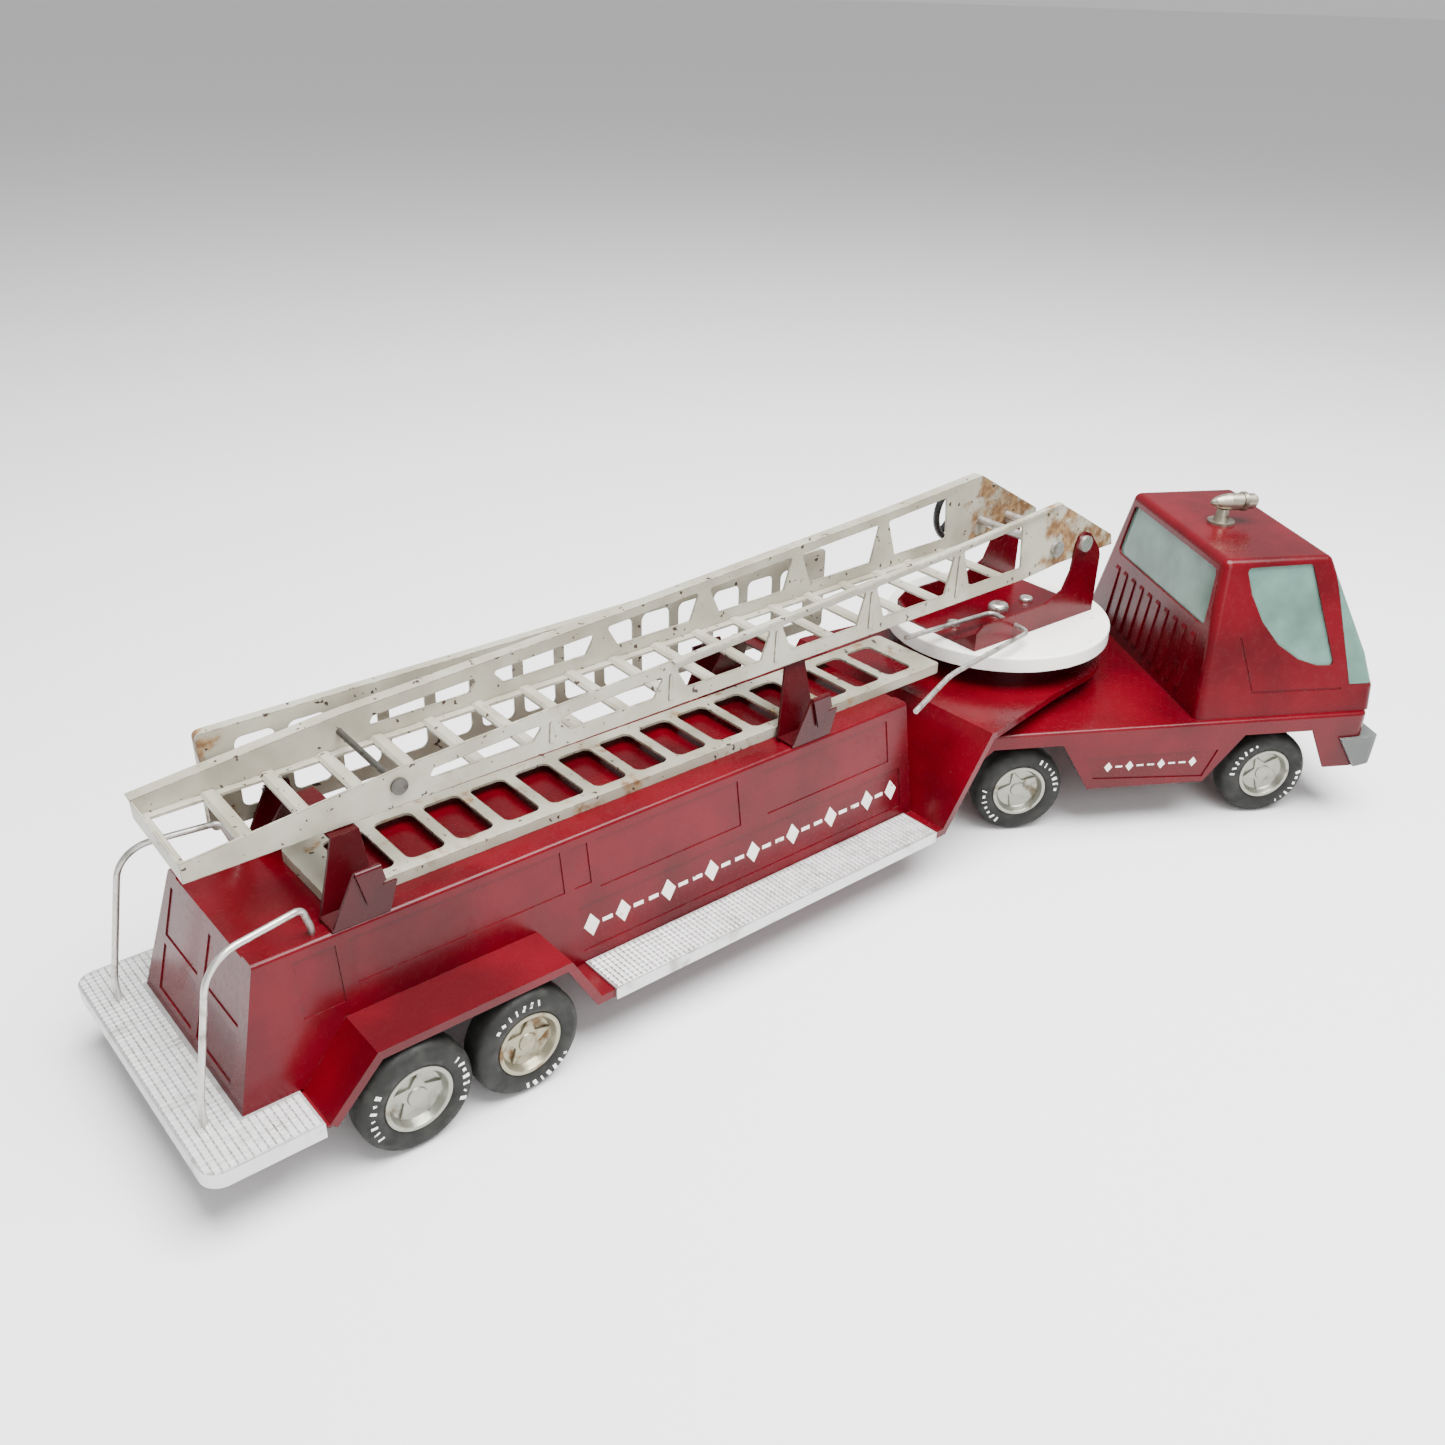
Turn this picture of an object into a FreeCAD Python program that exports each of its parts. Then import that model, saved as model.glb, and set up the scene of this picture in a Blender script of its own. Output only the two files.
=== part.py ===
import FreeCAD, Part
import math
import os

V = FreeCAD.Vector
os.makedirs("parts", exist_ok=True)

# All sizes are in millimetres. While the pieces are made, X runs forward from the rear edge of
# the rear step, Y is to the trailer's left and Z is up from the ground. Before they are saved,
# everything is moved so that the origin is on the ground under the middle of the whole truck.

# ---------------------------------------------------------------- driving sizes
SHEET = 1.2                     # gauge of the pressed steel
RUN = 0.06                      # radial running clearance of a shaft in its hole
SLIP = 0.15                     # gap between faces that slide past one another

TYRE_R = 27.0
TYRE_W = 17.0
TYRE_FACE_Y = 82.2              # outer face of every tyre from the centre line
RIM_R = 16.3
AXLE_R = 2.4
CARRIER_HALF = 40.0             # half the width of the folded axle carriers
TRAILER_AXLES = (90.3, 145.6)
TRACTOR_AXLES = (6.0, 163.1)    # from the kingpin

STEP_LEN = 49.8
STEP_Z = 35.7
BOARD_X0 = 193.7
BOARD_X1 = 411.9
BOARD_Z = 33.8

BODY_REAR_X = 25.2
BODY_REAR_TOP_X = 42.0
BODY_FRONT_X = 417.8
BODY_HALF = 54.3                # half-width at the step, narrowing to the top
BODY_TOP_HALF = 44.6
BODY_Z = 98.0
BODY_WALL = 1.6
TOP_RECESS = 1.0

CHASSIS_HALF = 79.4
STEP_HALF = CHASSIS_HALF - 0.6
FENDER_X0 = 75.3
FENDER_X1 = 170.7
FENDER_Z = 59.4
RISER_X0 = BODY_FRONT_X + 0.8
RISER_X1 = RISER_X0 + 33.9
NECK_Z = 82.0
LIP = 4.2                       # depth of the turned-down chassis edge

KINGPIN_X = 528.7
KINGPIN_R = 4.0
TRACTOR_YAW = -30.3             # the tractor stands turned to its right
TURN_X = 546.5
TURN_R = 68.5
TURN_Z = NECK_Z + 21.6
TURN_RIM = 9.1
PIVOT_R = 3.0
DRUM_R = 54.0

DECK_X0 = -34.6
DECK_X1 = 219.6
DECK_Z = NECK_Z - 13.4
DECK_HALF = 87.2
SKIRT_Z = 28.8
CAB_BACK = (108.6, 120.6)       # rear wall at the deck and at the roof
CAB_Z = 160.1
CAB_FRONT = ((222.4, DECK_Z), (223.2, 82.0), (216.6, 101.7), (188.0, CAB_Z))
CAB_HALF = 83.4
ROOF_HALF = 62.2
CAB_WALL = 1.4

AERIAL_YAW = -1.7               # the ladder lies slightly to the left of the body
AERIAL_DIP = 1.5                # and slopes down towards its tip
HINGE_DX = 33.2                 # hinge ahead of the turntable's pivot
HINGE_Z = TURN_Z + 48.2
HINGE_R = 2.6
BRACKET_X = (-56.5, 50.5)       # the bracket's rear and front ends from the turntable's pivot
SCREW_X = (-40.0, 26.0)
SCREW_R = 2.2
LAD_LEN = 549.0
LAD_HALF = 30.8
LAD_N = 10.8                    # hinge above the ladder's floor
LAD_TOP = ((LAD_LEN, 9.3), (453.0, 18.3), (308.0, 25.0), (109.0, 35.8), (26.0, 42.0))
RUNG_PITCH = 26.8
RUNG_W = 7.4
GUSSETS = (109.0, 176.0, 242.0, 309.0, 377.0)
SLOT_END = 440.0
LEFT_FLANGE = 6.0
RIGHT_FLANGE = 2.6
SHAFT_S = 25.0                  # handwheel shaft behind the hinge
SHAFT_N = 13.0
WHEEL_R = 20.0
WHEEL_Y = 50.0

SPARE_LEN = 379.0
SPARE_W = 50.0
SPARE_D = 5.4
SPARE_PITCH = 25.2
SPARE_RUNG = 6.0
SPARE_X = 84.0
SIDE_X = 66.0
SIDE_Y = 53.0
SIDE_Z = BODY_Z + 4.6
CRADLES = (77.0, 333.0)
CRADLE_DEPTH = 26.5
CRADLE_SIDE = 44.4
CRADLE_FOOT_HALF = 33.0         # the arms lean in from here ...
CRADLE_TOP_HALF = 22.0          # ... to here, under the aerial ladder
CRADLE_BAR = 13.0
CRADLE_CREST = 24.0

RAIL_R = 1.5
RAIL_FOOT = (11.4, 50.0)
RAIL_END = (70.5, 38.5)


# ---------------------------------------------------------------- helpers
def box(x0, x1, y0, y1, z0, z1):
    return Part.makeBox(x1 - x0, y1 - y0, z1 - z0, V(x0, y0, z0))


def rod_y(x, z, y0, y1, r):
    return Part.makeCylinder(r, y1 - y0, V(x, y0, z), V(0, 1, 0))


def rod_z(x, y, z0, z1, r):
    return Part.makeCylinder(r, z1 - z0, V(x, y, z0), V(0, 0, 1))


def prism_y(points, y0, y1):
    corners = [V(x, y0, z) for x, z in points]
    return Part.Face(Part.makePolygon(corners + corners[:1])).extrude(V(0, y1 - y0, 0))


def prism_x(points, x0, x1):
    corners = [V(x0, y, z) for y, z in points]
    return Part.Face(Part.makePolygon(corners + corners[:1])).extrude(V(x1 - x0, 0, 0))


def prism_z(points, z0, z1):
    corners = [V(x, y, z0) for x, y in points]
    return Part.Face(Part.makePolygon(corners + corners[:1])).extrude(V(0, 0, z1 - z0))


def fuse(shapes):
    return shapes[0].multiFuse(shapes[1:]).removeSplitter()


def mirrored(shape):
    return shape.mirror(V(0, 0, 0), V(0, 1, 0))


def pair(shape):
    return Part.makeCompound([shape, mirrored(shape)])


def round_edges(shape, radius, wanted):
    return shape.makeFillet(radius, [e for e in shape.Edges if wanted(e)])


def along(edge, axis):
    """True when a straight edge runs along the given axis."""
    a, b = edge.Vertexes[0].Point, edge.Vertexes[-1].Point
    d = b - a
    return d.Length > 1e-6 and abs(abs(d.dot(axis)) - d.Length) < 1e-6


def offset_line(points, distance):
    """An open X-Z polyline moved down by distance, measured square to each segment."""
    normals = []
    for (x0, z0), (x1, z1) in zip(points, points[1:]):
        length = math.hypot(x1 - x0, z1 - z0)
        normals.append(((z1 - z0) / length, -(x1 - x0) / length))
    normals = [normals[0]] + normals + [normals[-1]]
    out = []
    for (x, z), n1, n2 in zip(points, normals, normals[1:]):
        mx, mz = n1[0] + n2[0], n1[1] + n2[1]
        k = 2.0 * distance / (mx * mx + mz * mz)
        out.append((x + mx * k, z + mz * k))
    return out


def band_y(points, thickness, y0, y1):
    """A sheet that follows an X-Z polyline running towards +X, with its top on the line."""
    return prism_y(list(points) + offset_line(points, thickness)[::-1], y0, y1)


def bent_wire(points, radius, bends):
    """A round wire through the points, with its own bend at each inner corner."""
    pts = [V(*p) for p in points]
    edges = []
    start = pts[0]
    for i, bend in enumerate(bends, 1):
        into = (pts[i - 1] - pts[i]).normalize()
        out = (pts[i + 1] - pts[i]).normalize()
        half = into.getAngle(out) / 2.0
        centre = pts[i] + (into + out).normalize() * (bend / math.cos(half))
        middle = centre - (into + out).normalize() * (bend * math.tan(half))
        edges.append(Part.LineSegment(start, pts[i] + into * bend).toShape())
        edges.append(Part.Arc(pts[i] + into * bend, middle, pts[i] + out * bend).toShape())
        start = pts[i] + out * bend
    edges.append(Part.LineSegment(start, pts[-1]).toShape())
    profile = Part.Wire([Part.makeCircle(radius, pts[0], pts[1] - pts[0])])
    return Part.Wire(edges).makePipeShell([profile], True, False)


def in_tractor(shape):
    """From the tractor's own frame, with X forward from the kingpin, to the turned rest pose."""
    s = shape.copy()
    s.translate(V(KINGPIN_X, 0, 0))
    s.rotate(V(KINGPIN_X, 0, 0), V(0, 0, 1), TRACTOR_YAW)
    return s


def on_turntable(shape):
    """From the turntable's own frame, with X forward from the pivot, to the rest pose."""
    s = shape.copy()
    s.translate(V(TURN_X, 0, 0))
    s.rotate(V(TURN_X, 0, 0), V(0, 0, 1), AERIAL_YAW)
    return s


def on_ladder(shape):
    """From the ladder's own frame, with its hinge at the origin and its tip towards -X."""
    s = shape.copy()
    s.rotate(V(0, 0, 0), V(0, 1, 0), -AERIAL_DIP)
    s.translate(V(HINGE_DX, 0, HINGE_Z))
    return on_turntable(s)


# ---------------------------------------------------------------- wheels and axles
def tyre(x):
    """A rubber tyre with rounded shoulders, stretched over the rim."""
    outer = TYRE_FACE_Y
    ring = rod_y(0, 0, outer - TYRE_W, outer, TYRE_R)
    ring = round_edges(ring, 4.0, lambda e: e.BoundBox.XMax > TYRE_R - 0.01 and e.BoundBox.YLength < 0.1)
    ring = ring.cut(rod_y(0, 0, outer - TYRE_W - 1, outer + 1, RIM_R))
    ring.translate(V(x, 0, TYRE_R))
    return ring


def hub(x):
    """A plated hub: rim, dished web, five raised star arms and a sleeve pressed on the axle."""
    outer = TYRE_FACE_Y - 0.6
    inner = TYRE_FACE_Y - TYRE_W + 0.6
    rim = rod_y(0, 0, inner, outer, RIM_R)
    dish = Part.makeCone(11.6, 14.2, 3.6, V(0, outer - 3.6, 0), V(0, 1, 0))
    back = rod_y(0, 0, inner - 1, outer - 5.2, 14.2)
    pieces = [rim.cut(dish).cut(back), rod_y(0, 0, inner, outer - 1.4, 5.6)]
    for k in range(5):
        arm = prism_y([(4.0, -2.9), (12.4, -1.0), (12.4, 1.0), (4.0, 2.9)], outer - 4.4, outer - 2.0)
        arm.rotate(V(0, 0, 0), V(0, 1, 0), 90 + 72 * k)
        pieces.append(arm)
    body = fuse(pieces).cut(rod_y(0, 0, inner - 1, outer - 2.4, AXLE_R))
    body.translate(V(x, 0, TYRE_R))
    return body


def axle(x):
    half = TYRE_FACE_Y - 0.6 - 2.4
    return rod_y(x, TYRE_R, -half, half, AXLE_R)


def axle_carrier(xs, z_top):
    """A folded channel under the floor that carries the axles in holes through its cheeks."""
    x0 = min(xs) - 9.0
    x1 = max(xs) + 9.0
    z0 = TYRE_R - 8.2
    h = CARRIER_HALF
    block = box(x0, x1, -h, h, z0, z_top)
    body = block.cut(box(x0 - 1, x1 + 1, -h + SHEET, h - SHEET, z0 + SHEET, z_top + 1))
    foot = box(x0, x1, h - 0.1, h + 8.0, z_top - SHEET, z_top)
    body = fuse([body, foot, mirrored(foot)])
    for x in xs:
        body = body.cut(rod_y(x, TYRE_R, -h - 5, h + 5, AXLE_R + RUN))
    return body


def wheel_sets():
    out = {}
    stations = [("trailer_rear", TRAILER_AXLES[0], 0), ("trailer_front", TRAILER_AXLES[1], 0)]
    stations += [("tractor_rear", TRACTOR_AXLES[0], 1), ("tractor_front", TRACTOR_AXLES[1], 1)]
    for name, x, turned in stations:
        parts = {"axle": axle(x), "tyres": pair(tyre(x)), "hubs": pair(hub(x))}
        for kind, shape in parts.items():
            out[name + "_" + kind] = in_tractor(shape) if turned else shape
    return out


# ---------------------------------------------------------------- trailer pressings
FLOOR_Z = BOARD_Z - SHEET
TONGUE_Z = STEP_Z - SHEET
CHASSIS_LINE = [(16.0, TONGUE_Z), (STEP_LEN + 1.6, TONGUE_Z), (FENDER_X0, FENDER_Z), (FENDER_X1, FENDER_Z),
                (FENDER_X1 + 15.4, FLOOR_Z), (RISER_X0, FLOOR_Z), (RISER_X1, NECK_Z), (TURN_X + 80.0, NECK_Z)]


def chassis_plan(inset):
    """Plan outline: a narrow tongue under the step, the full width, and the round-nosed neck."""
    h = CHASSIS_HALF - inset
    x = STEP_LEN + 0.3
    half = [(15.0, 58.0 - inset), (x, 58.0 - inset), (x, h), (RISER_X1 + 4.0, h), (TURN_X - 30.0, 69.6 - inset)]
    r = 66.0 - inset
    for k in range(10, -1, -1):
        a = math.radians(k * 9.0)
        half.append((TURN_X + r * math.cos(a), r * math.sin(a)))
    return half + [(px, -py) for px, py in half[-2::-1]]


def trailer_chassis():
    """One pressing: tongue, wheel fenders and floor with turned-down edges, riser and gooseneck."""
    plan = prism_z(chassis_plan(0.0), 0, 120)
    inner = prism_z(chassis_plan(SHEET), -1, 121)
    sheet = band_y(CHASSIS_LINE, SHEET, -90, 90).common(plan)
    lip = band_y(CHASSIS_LINE[1:], LIP, -90, 90).common(plan.cut(inner))
    body = fuse([sheet, lip])
    body = body.cut(rod_z(KINGPIN_X, 0, 60, 100, KINGPIN_R + RUN))
    return body


def tapered_block(inset):
    """The body as a block with sloping sides, drawn in by inset on every side but the bottom."""
    slope = (BODY_REAR_TOP_X - BODY_REAR_X) / (BODY_Z - STEP_Z)
    lean = (BODY_HALF - BODY_TOP_HALF) / (BODY_Z - STEP_Z)
    z0, z1 = 20.0, BODY_Z - inset
    x_low = BODY_REAR_X + (z0 - STEP_Z) * slope + inset
    x_high = BODY_REAR_X + (z1 - STEP_Z) * slope + inset
    y_low = BODY_HALF - (z0 - STEP_Z) * lean - inset
    y_high = BODY_HALF - (z1 - STEP_Z) * lean - inset
    front = BODY_FRONT_X - inset
    side = prism_y([(x_low, z0), (front, z0), (front, z1), (x_high, z1)], -90, 90)
    section = prism_x([(-y_low, z0), (y_low, z0), (y_high, z1), (-y_high, z1)], -50, 500)
    return side.common(section)


def body_half_at(z):
    return BODY_HALF + (BODY_TOP_HALF - BODY_HALF) * (z - STEP_Z) / (BODY_Z - STEP_Z)


def body_rear_at(z):
    return BODY_REAR_X + (BODY_REAR_TOP_X - BODY_REAR_X) * (z - STEP_Z) / (BODY_Z - STEP_Z)


SIDE_PANELS = ((58.0, 77.0, 66.0, 92.6), (83.0, 188.0, 72.0, 93.0), (193.5, 203.0, 72.0, 92.6),
               (207.5, 295.0, 68.0, 92.6), (313.0, 402.0, 68.0, 92.0), (194.0, 410.0, 39.0, 62.0))
REAR_PANELS = ((42.0, 64.0), (68.0, 91.0))


def side_panel(x0, x1, z0, z1):
    """A shallow block along the sloping left side that sinks a panel into it."""
    ya, yb = body_half_at(z0), body_half_at(z1)
    return prism_x([(ya + 3, z0), (ya - 0.6, z0), (yb - 0.6, z1), (yb + 3, z1)], x0, x1)


def trailer_body():
    """The long body: sloping sides with sunk panels, and a top with low side lips."""
    body = round_edges(tapered_block(0.0), 2.2, lambda e: e.BoundBox.ZMin > BODY_Z - 0.1 and along(e, V(1, 0, 0)))
    body = body.cut(tapered_block(BODY_WALL + TOP_RECESS).common(box(0, 500, -90, 90, 0, BODY_Z)))
    lips = BODY_TOP_HALF - 9.0
    body = body.cut(box(0, BODY_FRONT_X + 1, -lips, lips, BODY_Z - TOP_RECESS, BODY_Z + 1))
    body = body.cut(box(0, STEP_LEN + 1.6, -90, 90, 0, STEP_Z))
    body = body.cut(prism_y(CHASSIS_LINE[1:6] + [(500.0, FLOOR_Z), (500.0, 0.0), (STEP_LEN + 1.6, 0.0)], -90, 90))
    cuts = [pair(side_panel(*p)) for p in SIDE_PANELS]
    for z0, z1 in REAR_PANELS:
        xa, xb = body_rear_at(z0), body_rear_at(z1)
        face = prism_y([(xa - 3, z0), (xa + 0.6, z0), (xb + 0.6, z1), (xb - 3, z1)], 3.0, 40.0)
        cuts.append(pair(face))
    body = body.cut(Part.makeCompound(cuts))
    return body.cut(pair(rod_z(RAIL_END[0], RAIL_END[1], BODY_Z - 9, BODY_Z + 1, RAIL_R)))


def rear_step():
    """The rear platform: a tread plate with rounded rear corners and a turned-down edge."""
    z0 = STEP_Z - 7.2
    upright = V(0, 0, 1)
    full = box(0, STEP_LEN, -STEP_HALF, STEP_HALF, z0, STEP_Z)
    full = round_edges(full, 9.0, lambda e: along(e, upright) and e.BoundBox.XMax < 1)
    h = STEP_HALF - SHEET
    hollow = box(SHEET, STEP_LEN + 5, -h, h, z0 - 1, STEP_Z - SHEET)
    hollow = round_edges(hollow, 9.0 - SHEET, lambda e: along(e, upright) and e.BoundBox.XMax < 5)
    step = full.cut(hollow)
    return step.cut(pair(rod_z(RAIL_FOOT[0], RAIL_FOOT[1], z0 - 1, STEP_Z + 1, RAIL_R)))


def running_board():
    """The left running board: a tread strip on the chassis floor, its outer edge turned down."""
    edge_y = CHASSIS_HALF + 0.1
    plate = box(BOARD_X0, BOARD_X1, BODY_HALF + 0.8, edge_y + SHEET, FLOOR_Z, BOARD_Z)
    edge = box(BOARD_X0, BOARD_X1, edge_y, edge_y + SHEET, BOARD_Z - 6.3, BOARD_Z)
    return fuse([plate, edge])


def grab_rail():
    """A plated wire rail on the left: from the step up, forward and down into the body's top."""
    fx, fy = RAIL_FOOT
    ex, ey = RAIL_END
    points = [(fx, fy, STEP_Z - 4.5), (fx, fy, STEP_Z + 12.0), (24.0, fy - 1.0, 112.0),
              (66.5, ey + 3.0, 113.5), (ex, ey, BODY_Z + 3.0), (ex, ey, BODY_Z - 4.0)]
    return bent_wire(points, RAIL_R, (4.0, 14.0, 3.5, 1.6))


# ---------------------------------------------------------------- ladder cradles
def ladder_floor_z(x, y):
    """Height of the underside of the lowered ladder above a point of the trailer."""
    yaw = math.radians(AERIAL_YAW)
    dip = math.radians(AERIAL_DIP)
    ahead = (x - TURN_X) * math.cos(yaw) + y * math.sin(yaw) - HINGE_DX
    return HINGE_Z - LAD_N / math.cos(dip) + ahead * math.tan(dip)


def cradle(x0):
    """A bridge folded from one strip: crossbar, leaning arms, feet, and cheeks with a rolled-over tongue."""
    t = 1.4
    x_bar = x0 + 13.5
    top = ladder_floor_z(x_bar, -20.0) - SLIP - 0.2
    z0 = BODY_Z
    side = CRADLE_SIDE
    bar = box(x_bar, x_bar + CRADLE_BAR, -CRADLE_TOP_HALF, CRADLE_TOP_HALF, top - t, top)
    lean = [(CRADLE_FOOT_HALF, z0), (CRADLE_FOOT_HALF - t, z0), (CRADLE_TOP_HALF - t, top), (CRADLE_TOP_HALF, top)]
    taper = [(x0, z0), (x0 + CRADLE_DEPTH, z0), (x_bar + CRADLE_BAR, top), (x_bar, top)]
    arm = prism_x(lean, x0, x0 + 40.0).common(prism_y(taper, 0, side))
    foot = box(x0, x0 + CRADLE_DEPTH, CRADLE_FOOT_HALF - t, side, z0, z0 + t)
    crest = z0 + CRADLE_CREST
    plate = [(x0, z0), (x0 + CRADLE_DEPTH, z0), (x0 + 31.0, z0 + 14.0), (x0 + 24.0, z0 + 14.0),
             (x0 + 24.0, crest), (x0 + 12.3, crest)]
    cheek = prism_y(plate, side - t, side)
    roll = Part.makeCylinder(1.5, 11.7, V(x0 + 12.3, side + 0.1, crest - 0.6), V(1, 0, 0))
    drop = [(x0 + 12.3, crest - 0.4), (x0 + 24.0, crest - 0.4), (x0 + 25.5, z0 + 17.0), (x0 + 20.5, z0 + 14.4),
            (x0 + 16.3, z0 + 7.6)]
    tongue = prism_y(drop, side + 0.5, side + 1.6)
    half = [arm, foot, cheek, roll, tongue]
    hook_z = SIDE_Z - SLIP
    reach = SIDE_Y + SPARE_D + 0.4
    shelf = box(x0 + 16.6, x0 + 26.6, side - 0.4, reach + t, hook_z - t, hook_z)
    lip = box(x0 + 16.6, x0 + 26.6, reach, reach + t, hook_z - t, hook_z + 10.0)
    return fuse([bar] + half + [mirrored(s) for s in half] + [shelf, lip])


def loose_ladder():
    """A pressed ladder lying flat from the origin: two flanged rails and round-cornered gaps."""
    plate = box(0, SPARE_LEN, 0, SPARE_W, 0, SPARE_D)
    plate = round_edges(plate, 3.0, lambda e: along(e, V(0, 0, 1)))
    hollow = box(1.1, SPARE_LEN - 1.1, 1.1, SPARE_W - 1.1, -1, SPARE_D - 1.2)
    cuts = [hollow]
    margin = 5.0
    count = int((SPARE_LEN - 2 * margin) / SPARE_PITCH)
    start = (SPARE_LEN - count * SPARE_PITCH) / 2.0
    for k in range(count):
        x = start + k * SPARE_PITCH + SPARE_RUNG / 2.0
        gap = box(x, x + SPARE_PITCH - SPARE_RUNG, 7.0, SPARE_W - 7.0, -1, SPARE_D + 1)
        cuts.append(round_edges(gap, 4.0, lambda e: along(e, V(0, 0, 1))))
    return plate.cut(Part.makeCompound(cuts))


def spare_ladder():
    flat = loose_ladder()
    flat.translate(V(SPARE_X, -SPARE_W / 2.0 - 3.0, BODY_Z - TOP_RECESS + 0.05))
    return flat


def side_ladder():
    stood = loose_ladder()
    stood.rotate(V(0, 0, 0), V(1, 0, 0), 90)
    stood.translate(V(SIDE_X, SIDE_Y + SPARE_D, SIDE_Z))
    return stood


# ---------------------------------------------------------------- turntable
def pedestal():
    """The drum on the gooseneck that the turntable turns on."""
    top = TURN_Z - 1.6 - SLIP
    drum = rod_z(TURN_X, 0, NECK_Z, top, DRUM_R)
    drum = drum.cut(rod_z(TURN_X, 0, NECK_Z - 1, top - SHEET, DRUM_R - SHEET))
    return drum.cut(rod_z(TURN_X, 0, 80, 120, PIVOT_R))


def turntable():
    """A round pan turned upside down, with a rounded edge."""
    disc = rod_z(0, 0, TURN_Z - TURN_RIM, TURN_Z, TURN_R)
    disc = round_edges(disc, 1.4, lambda e: e.BoundBox.ZMin > TURN_Z - 0.01 and e.BoundBox.XLength > 50)
    disc = disc.cut(rod_z(0, 0, TURN_Z - TURN_RIM - 1, TURN_Z - 1.6, TURN_R - 1.4))
    return on_turntable(disc.cut(rod_z(0, 0, 80, 120, PIVOT_R + RUN)))


def pivot_rivet():
    """The rivet through pedestal, turntable and bracket, with a domed head."""
    head_z = TURN_Z + 1.4 + SLIP
    shank = rod_z(TURN_X, 0, TURN_Z - 6.4, head_z + 1.0, PIVOT_R)
    head = rod_z(TURN_X, 0, head_z, head_z + 4.4, 6.4)
    head = round_edges(head, 3.0, lambda e: e.BoundBox.ZMin > head_z + 4.0 and e.BoundBox.XLength > 5)
    tail = rod_z(TURN_X, 0, TURN_Z - 6.4, TURN_Z - 1.6 - SLIP - SHEET, 5.0)
    return fuse([shank, head, tail])


def pivot_bracket():
    """A folded channel on the turntable whose arms rise at the front to the ladder's hinge."""
    t = 1.4
    inner = LAD_HALF + 0.5
    outer = inner + t
    z0 = TURN_Z
    hx, hz = HINGE_DX, HINGE_Z
    rear, front = BRACKET_X
    side = [(rear, z0), (rear, z0 + 11.0), (rear + 6.0, z0 + 15.0), (4.0, z0 + 15.0), (hx - 15.0, z0 + 21.0),
            (hx - 9.4, hz - 16.0), (hx - 7.4, hz), (hx - 5.2, hz + 5.2), (hx, hz + 7.4), (hx + 5.2, hz + 5.2),
            (hx + 15.0, hz - 6.0), (front, hz - 11.0), (front, z0)]
    arm = prism_y(side, inner, outer)
    gusset = prism_x([(inner, z0), (inner, z0 + 11.0), (inner - 16.0, z0)], rear, rear + t)
    web = box(rear, front, -outer, outer, z0, z0 + t)
    body = fuse([web, arm, mirrored(arm), gusset, mirrored(gusset)])
    body = body.cut(rod_y(hx, hz, -50, 50, HINGE_R))
    body = body.cut(rod_z(0, 0, 100, 110, PIVOT_R + RUN))
    for x in SCREW_X:
        body = body.cut(rod_z(x, 0, 100, 110, SCREW_R))
    return on_turntable(body).cut(wire_handle())


def bracket_screws():
    """Two screws that hold the bracket to the turntable."""
    screws = []
    for x in SCREW_X:
        shank = rod_z(x, 0, TURN_Z, TURN_Z + 2.0, SCREW_R)
        head = rod_z(x, 0, TURN_Z + 1.4, TURN_Z + 3.6, 4.4)
        head = round_edges(head, 1.4, lambda e: e.BoundBox.ZMin > TURN_Z + 3.5 and e.BoundBox.XLength > 5)
        screws.append(on_turntable(fuse([shank, head])))
    return Part.makeCompound(screws)


def wire_handle():
    """A bent wire through the bracket, with its free end over the trailer's right side."""
    z = TURN_Z + 8.4
    points = [(398.0, -69.0, z - 3.0), (441.0, -54.5, z), (521.3, -43.6, z), (526.5, -11.0, z),
              (457.0, -5.0, z)]
    return bent_wire(points, RAIL_R, (8.0, 5.0, 5.0))


# ---------------------------------------------------------------- aerial ladder
def top_edge(s):
    """Height of the wall's top above the floor at a distance behind the hinge."""
    for (s0, n0), (s1, n1) in zip(LAD_TOP, LAD_TOP[1:]):
        if s <= s0 and s >= s1:
            return n0 + (n1 - n0) * (s0 - s) / (s0 - s1)
    return LAD_TOP[-1][1]


def wall_openings():
    """Openings between the gussets, each wide at the top and narrow at the base."""
    stations = (GUSSETS[0] - 68.0,) + GUSSETS + (SLOT_END + 5.0,)
    cuts = []
    for k, (a, b) in enumerate(zip(stations, stations[1:])):
        chord = 5.2 if k < 4 else 6.6
        foot_a = a + (14.0 if k == 0 else 10.0)
        head_a = a + (16.0 if k == 0 else 3.6)
        last = k == len(stations) - 2
        foot_b = b - (5.0 if last else 10.0)
        head_b = b - (8.0 if last else 3.6)
        points = [(foot_a, 8.0), (foot_b, 8.0), (head_b, top_edge(head_b) - chord), (head_a, top_edge(head_a) - chord)]
        hole = prism_y([(-s, n - LAD_N) for s, n in points], -50, 50)
        cuts.append(round_edges(hole, 1.5, lambda e: along(e, V(0, 1, 0))))
    return cuts


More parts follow.
